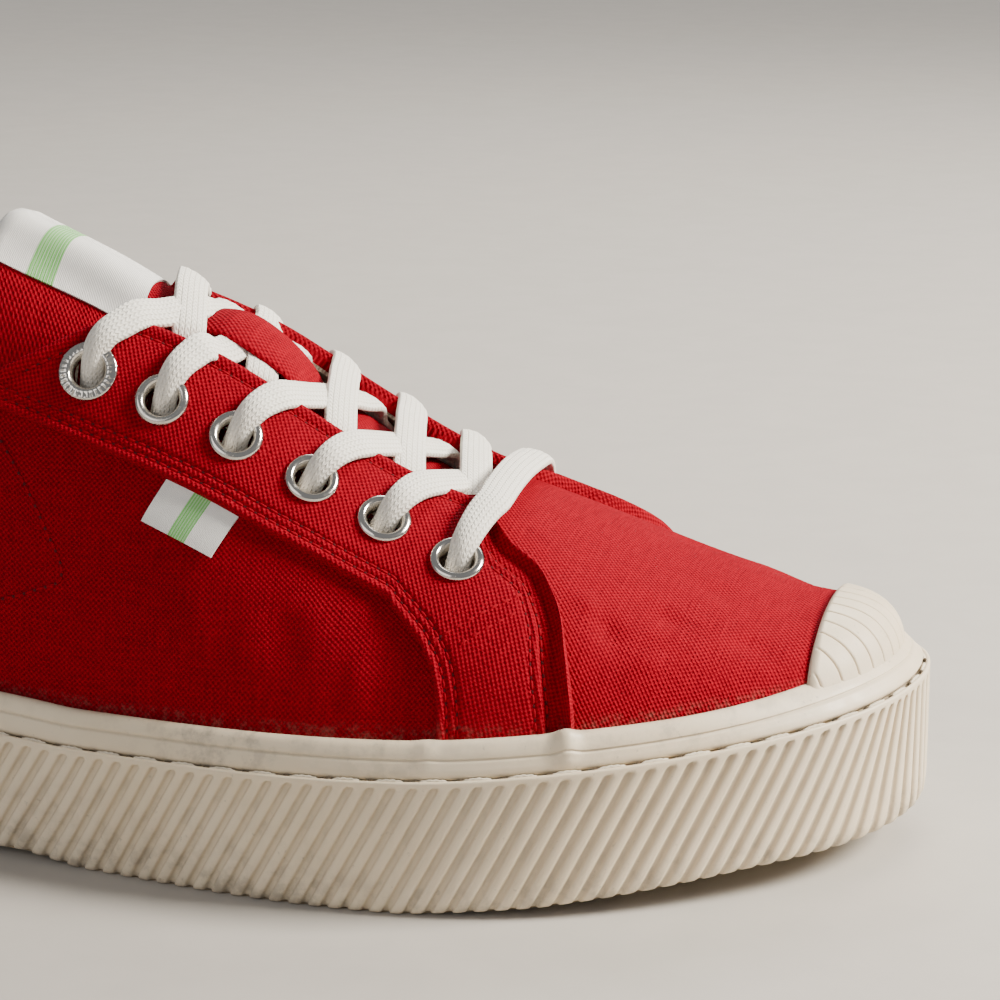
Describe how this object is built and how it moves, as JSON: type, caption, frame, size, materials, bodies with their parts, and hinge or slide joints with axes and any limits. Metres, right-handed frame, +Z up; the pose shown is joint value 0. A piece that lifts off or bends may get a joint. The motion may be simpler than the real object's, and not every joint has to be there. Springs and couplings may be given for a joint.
{
  "type": "canvas sneaker",
  "caption": "Low-top canvas sneaker for the right foot, laced, with a ribbed rubber cup sole, foxing strip and rubber toe cap.",
  "frame": {"origin": "centre of the shoe's outline on the floor, under the sole", "axes": "+X from heel to toe, +Y to the inner (medial) side of the right foot, +Z up from the floor"},
  "size_m": [0.2954, 0.1096, 0.1207],
  "materials": {
    "rubber": "matte cream natural rubber",
    "canvas": "plain-weave deep red cotton canvas",
    "footbed": "natural textile over cork and foam",
    "nickel": "polished nickel-plated brass",
    "lace": "off-white flat braided cotton",
    "label": "plain off-white woven ribbon"
  },
  "bodies": {
    "root": {"outsole": "rubber", "foxing": "rubber", "toe_cap": "rubber", "upper": "canvas", "tongue": "canvas", "insole": "footbed", "facing_lateral": "canvas", "facing_medial": "canvas", "eyelet_lateral_1": "nickel", "eyelet_lateral_2": "nickel", "eyelet_lateral_3": "nickel", "eyelet_lateral_4": "nickel", "eyelet_lateral_5": "nickel", "eyelet_lateral_6": "nickel", "eyelet_medial_1": "nickel", "eyelet_medial_2": "nickel", "eyelet_medial_3": "nickel", "eyelet_medial_4": "nickel", "eyelet_medial_5": "nickel", "eyelet_medial_6": "nickel", "lace_crossing_1": "lace", "lace_crossing_2": "lace", "lace_crossing_3": "lace", "lace_crossing_4": "lace", "lace_crossing_5": "lace", "lace_bar": "lace", "lace_keeper": "canvas", "tongue_label": "label", "side_label": "label"}
  },
  "joints": []
}
